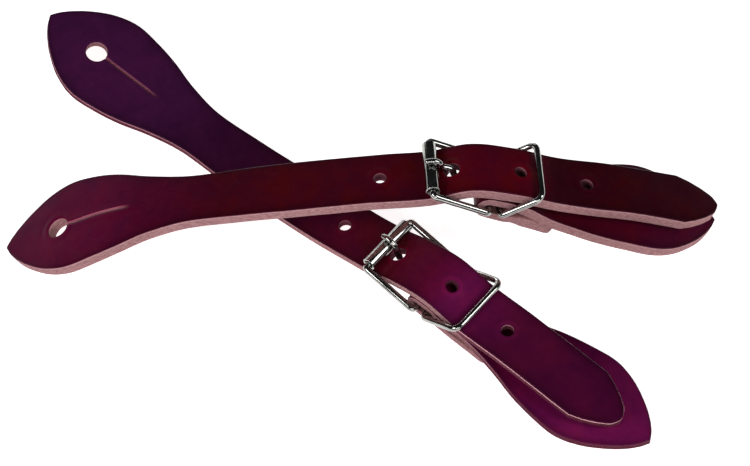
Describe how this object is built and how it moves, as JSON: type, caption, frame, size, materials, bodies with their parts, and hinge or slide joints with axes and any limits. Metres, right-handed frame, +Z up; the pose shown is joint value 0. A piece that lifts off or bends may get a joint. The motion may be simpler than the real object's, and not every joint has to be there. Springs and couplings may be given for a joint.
{
  "type": "spur straps",
  "caption": "Crossed pair of buckled leather western spur straps, each with leaf-shaped button-hole ends, a roller buckle with a tongue, and a wire keeper loop.",
  "frame": {"origin": "middle of the footprint, on the surface that the straps lie on", "axes": "+X along the upper straps towards their short ends, +Y across, +Z up"},
  "size_m": [0.2256, 0.16, 0.0432],
  "materials": {
    "latigo": "semi-gloss burgundy latigo with raw pink-tan edges",
    "nickel": "bright nickel plate"
  },
  "bodies": {
    "lower_straps": {"lower_long_strap": "latigo", "lower_short_strap": "latigo", "lower_screw_post": "nickel", "lower_screw": "nickel"},
    "lower_buckle": {"lower_buckle_frame": "nickel"},
    "lower_roller": {"lower_roller": "nickel"},
    "lower_tongue": {"lower_tongue": "nickel"},
    "lower_keeper": {"lower_keeper": "nickel"},
    "upper_straps": {"upper_long_strap": "latigo", "upper_short_strap": "latigo", "upper_screw_post": "nickel", "upper_screw": "nickel"},
    "upper_buckle": {"upper_buckle_frame": "nickel"},
    "upper_roller": {"upper_roller": "nickel"},
    "upper_tongue": {"upper_tongue": "nickel"},
    "upper_keeper": {"upper_keeper": "nickel"}
  },
  "joints": [
    {"name": "lower_buckle_hinge", "type": "hinge", "parent": "lower_straps", "child": "lower_buckle", "pos_m": [0.02287, -0.02512, 0.00922], "axis": [0.6508, 0.7593, 0], "range_deg": [0, 1.5]},
    {"name": "lower_tongue_hinge", "type": "hinge", "parent": "lower_buckle", "child": "lower_tongue", "pos_m": [0.02287, -0.02512, 0.00922], "axis": [0.6508, 0.7593, 0], "range_deg": [0, 1]},
    {"name": "lower_roller_spin", "type": "hinge", "parent": "lower_buckle", "child": "lower_roller", "pos_m": [0.00811, -0.01247, 0.01396], "axis": [0.6508, 0.7593, 0], "continuous": true},
    {"name": "lower_keeper_hinge", "type": "hinge", "parent": "lower_straps", "child": "lower_keeper", "pos_m": [0.0257, -0.02755, 0.00884], "axis": [-0.6508, -0.7593, 0], "range_deg": [0, 60]},
    {"name": "upper_buckle_hinge", "type": "hinge", "parent": "upper_straps", "child": "upper_buckle", "pos_m": [0.03907, -0.00063, 0.02865], "axis": [-0.0441, 0.9914, -0.1233], "range_deg": [0, 1.5]},
    {"name": "upper_tongue_hinge", "type": "hinge", "parent": "upper_buckle", "child": "upper_tongue", "pos_m": [0.03907, -0.00063, 0.02865], "axis": [-0.0441, 0.9914, -0.1233], "range_deg": [0, 1]},
    {"name": "upper_roller_spin", "type": "hinge", "parent": "upper_buckle", "child": "upper_roller", "pos_m": [0.02174, -0.00016, 0.03862], "axis": [-0.0441, 0.9914, -0.1233], "continuous": true},
    {"name": "upper_keeper_hinge", "type": "hinge", "parent": "upper_straps", "child": "upper_keeper", "pos_m": [0.04248, -0.00068, 0.02708], "axis": [0.0441, -0.9914, 0.1233], "range_deg": [0, 60]},
    {"name": "upper_lift", "type": "slide", "parent": "lower_straps", "child": "upper_straps", "axis": [0, 0, 1], "range_m": [0, 0.06]}
  ]
}
